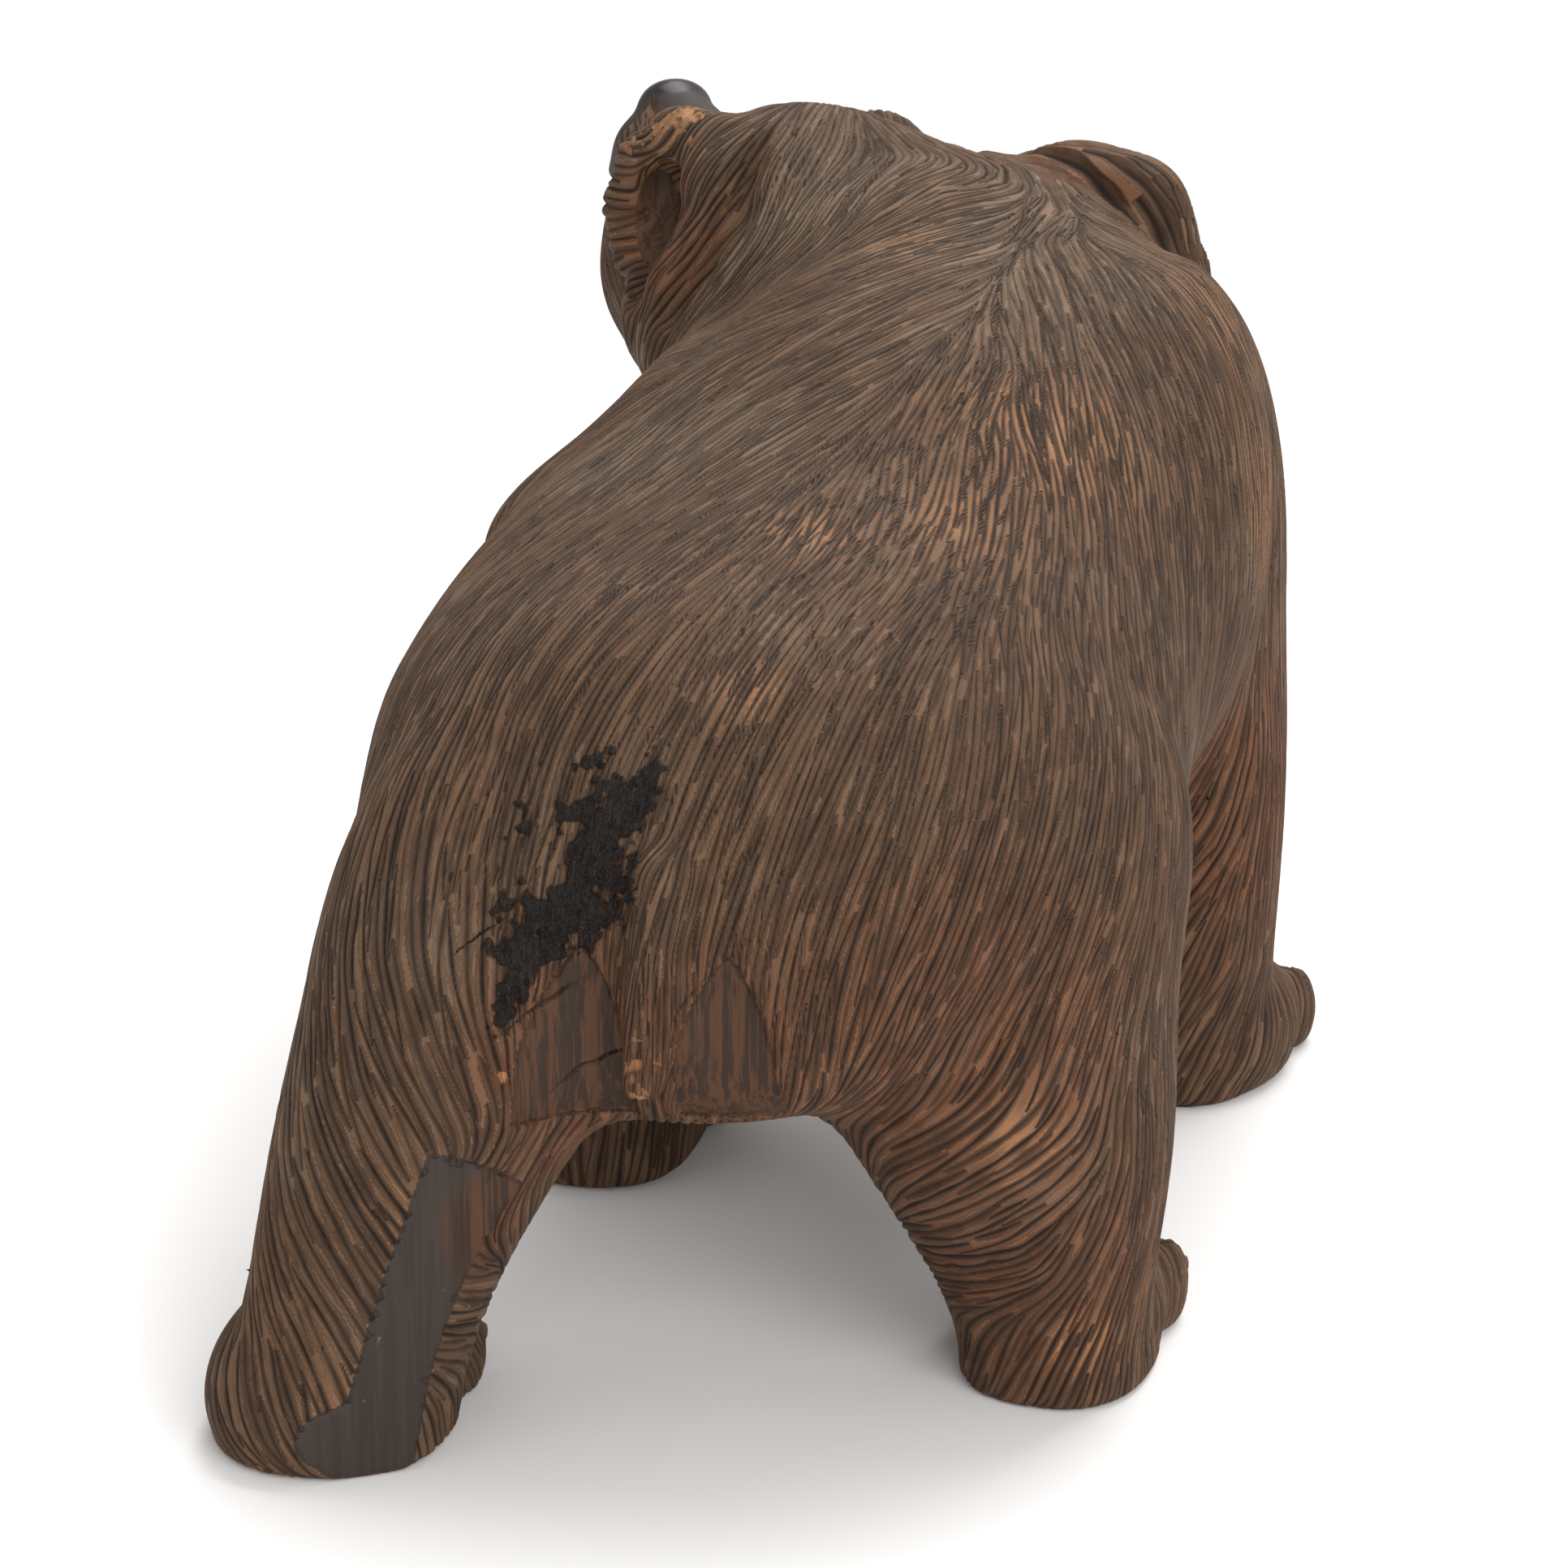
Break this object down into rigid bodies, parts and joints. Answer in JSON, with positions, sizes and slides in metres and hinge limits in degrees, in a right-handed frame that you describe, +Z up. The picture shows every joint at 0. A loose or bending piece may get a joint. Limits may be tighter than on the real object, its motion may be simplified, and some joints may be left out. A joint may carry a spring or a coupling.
{
  "type": "carved bear figurine",
  "caption": "Free-standing walking bear carved from one block of dark wood, head turned to its left, gouged fur all over and set-in glass bead eyes.",
  "frame": {"origin": "on the ground plane, under the middle of the carving's bounding box", "axes": "+Z up, -Y is the way the bear's body faces, +X is the bear's left side"},
  "size_m": [0.203, 0.3385, 0.2001],
  "materials": {
    "dark_wood": "stained dark brown wood, gouged all over, dusty matt with worn tan ridges",
    "black_glass": "opaque black-brown glass, polished",
    "shank_steel": "drawn steel wire, dull"
  },
  "bodies": {
    "root": {"carved_body": "dark_wood", "left_eye_bead": "black_glass", "right_eye_bead": "black_glass", "left_eye_pin": "shank_steel", "right_eye_pin": "shank_steel"}
  },
  "joints": []
}
